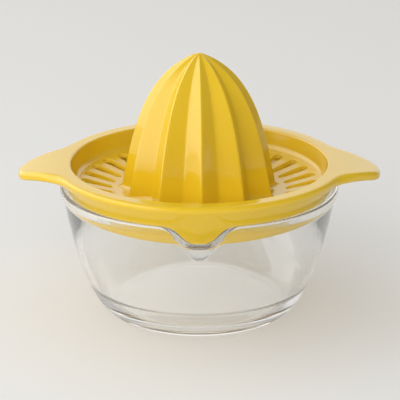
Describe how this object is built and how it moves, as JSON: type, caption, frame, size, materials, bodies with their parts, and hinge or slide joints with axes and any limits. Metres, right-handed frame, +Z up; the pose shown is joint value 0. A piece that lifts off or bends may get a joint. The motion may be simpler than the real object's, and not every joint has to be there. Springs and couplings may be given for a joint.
{
  "type": "citrus juicer",
  "caption": "Hand citrus juicer: a clear glass bowl with a pouring spout, and a plastic reamer with a ribbed cone, a slotted strainer floor and drooping ears that lifts out.",
  "frame": {"origin": "centre of the bowl's flat underside, on the table", "axes": "+Z up along the bowl's axis, spout towards -Y, ears along X"},
  "size_m": [0.169, 0.1393, 0.1244],
  "materials": {
    "glass": "clear pressed glass",
    "plastic": "glossy, lemon yellow"
  },
  "bodies": {
    "bowl": {"bowl": "glass"},
    "reamer": {"ring": "plastic", "strainer": "plastic", "cone": "plastic"}
  },
  "joints": [
    {"name": "reamer_lift", "type": "slide", "parent": "bowl", "child": "reamer", "axis": [0, 0, 1], "range_m": [0, 0.08]}
  ]
}
